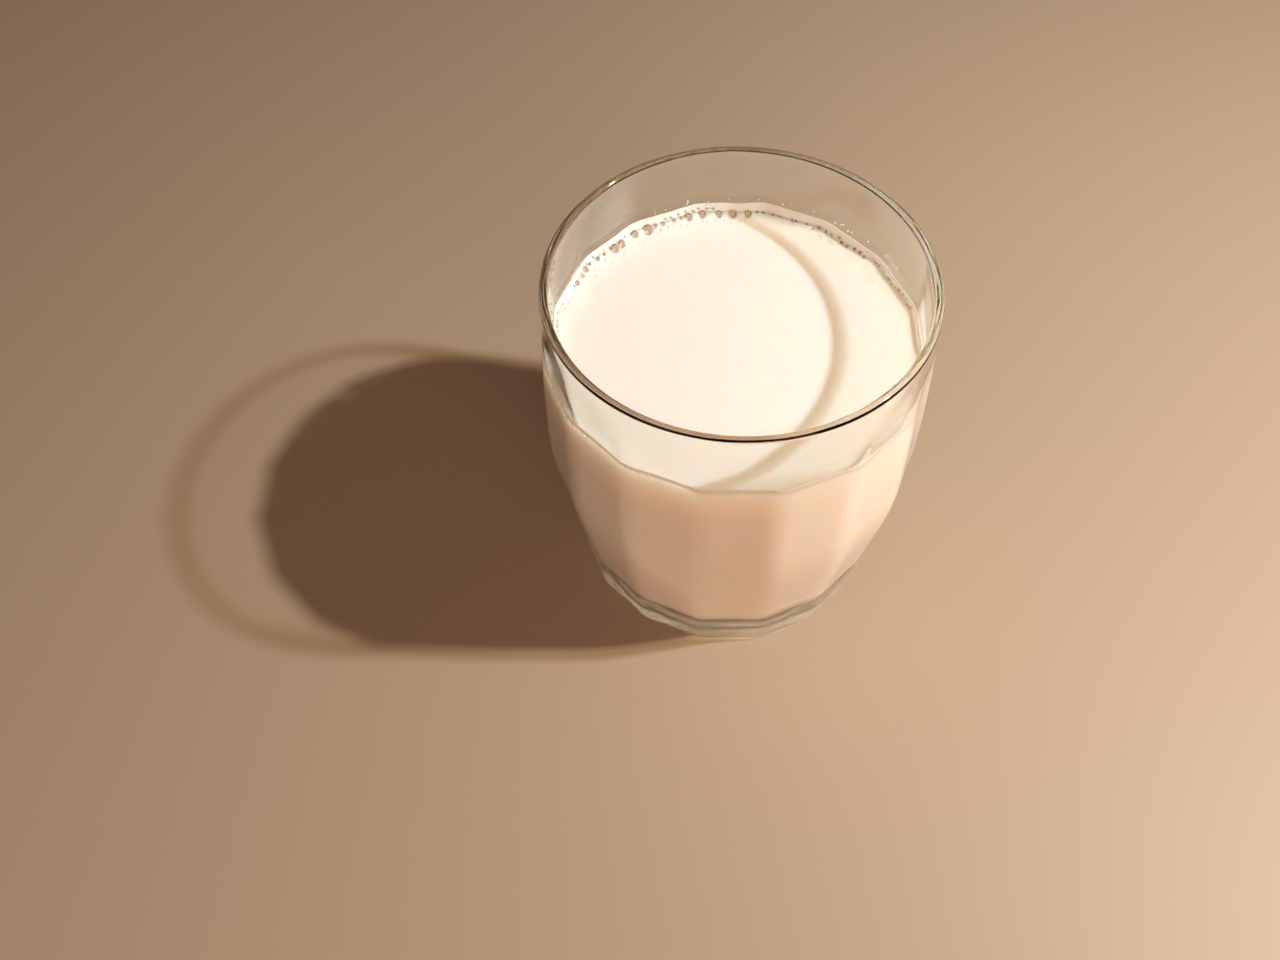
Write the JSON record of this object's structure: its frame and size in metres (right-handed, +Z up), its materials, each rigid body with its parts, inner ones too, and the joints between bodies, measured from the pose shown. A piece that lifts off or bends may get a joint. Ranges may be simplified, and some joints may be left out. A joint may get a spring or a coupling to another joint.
{
  "type": "glass of milk",
  "caption": "Clear faceted tumbler with a thick base and a round rim, about four fifths full of milk, with small bubbles round its edge.",
  "frame": {"origin": "centre of the foot, on the surface that the tumbler stands on", "axes": "+Z up along the tumbler's axis; the X and Y axes pass through the middle of facets"},
  "size_m": [0.0826, 0.0826, 0.088],
  "materials": {
    "clear_glass": "clear smooth moulded glass with a faint grey-olive tint where it is thick",
    "milk": "opaque creamy white liquid with a soft wet gloss, and a ring of small bubbles at its edge"
  },
  "bodies": {
    "root": {"tumbler": "clear_glass", "milk": "milk"}
  },
  "joints": []
}
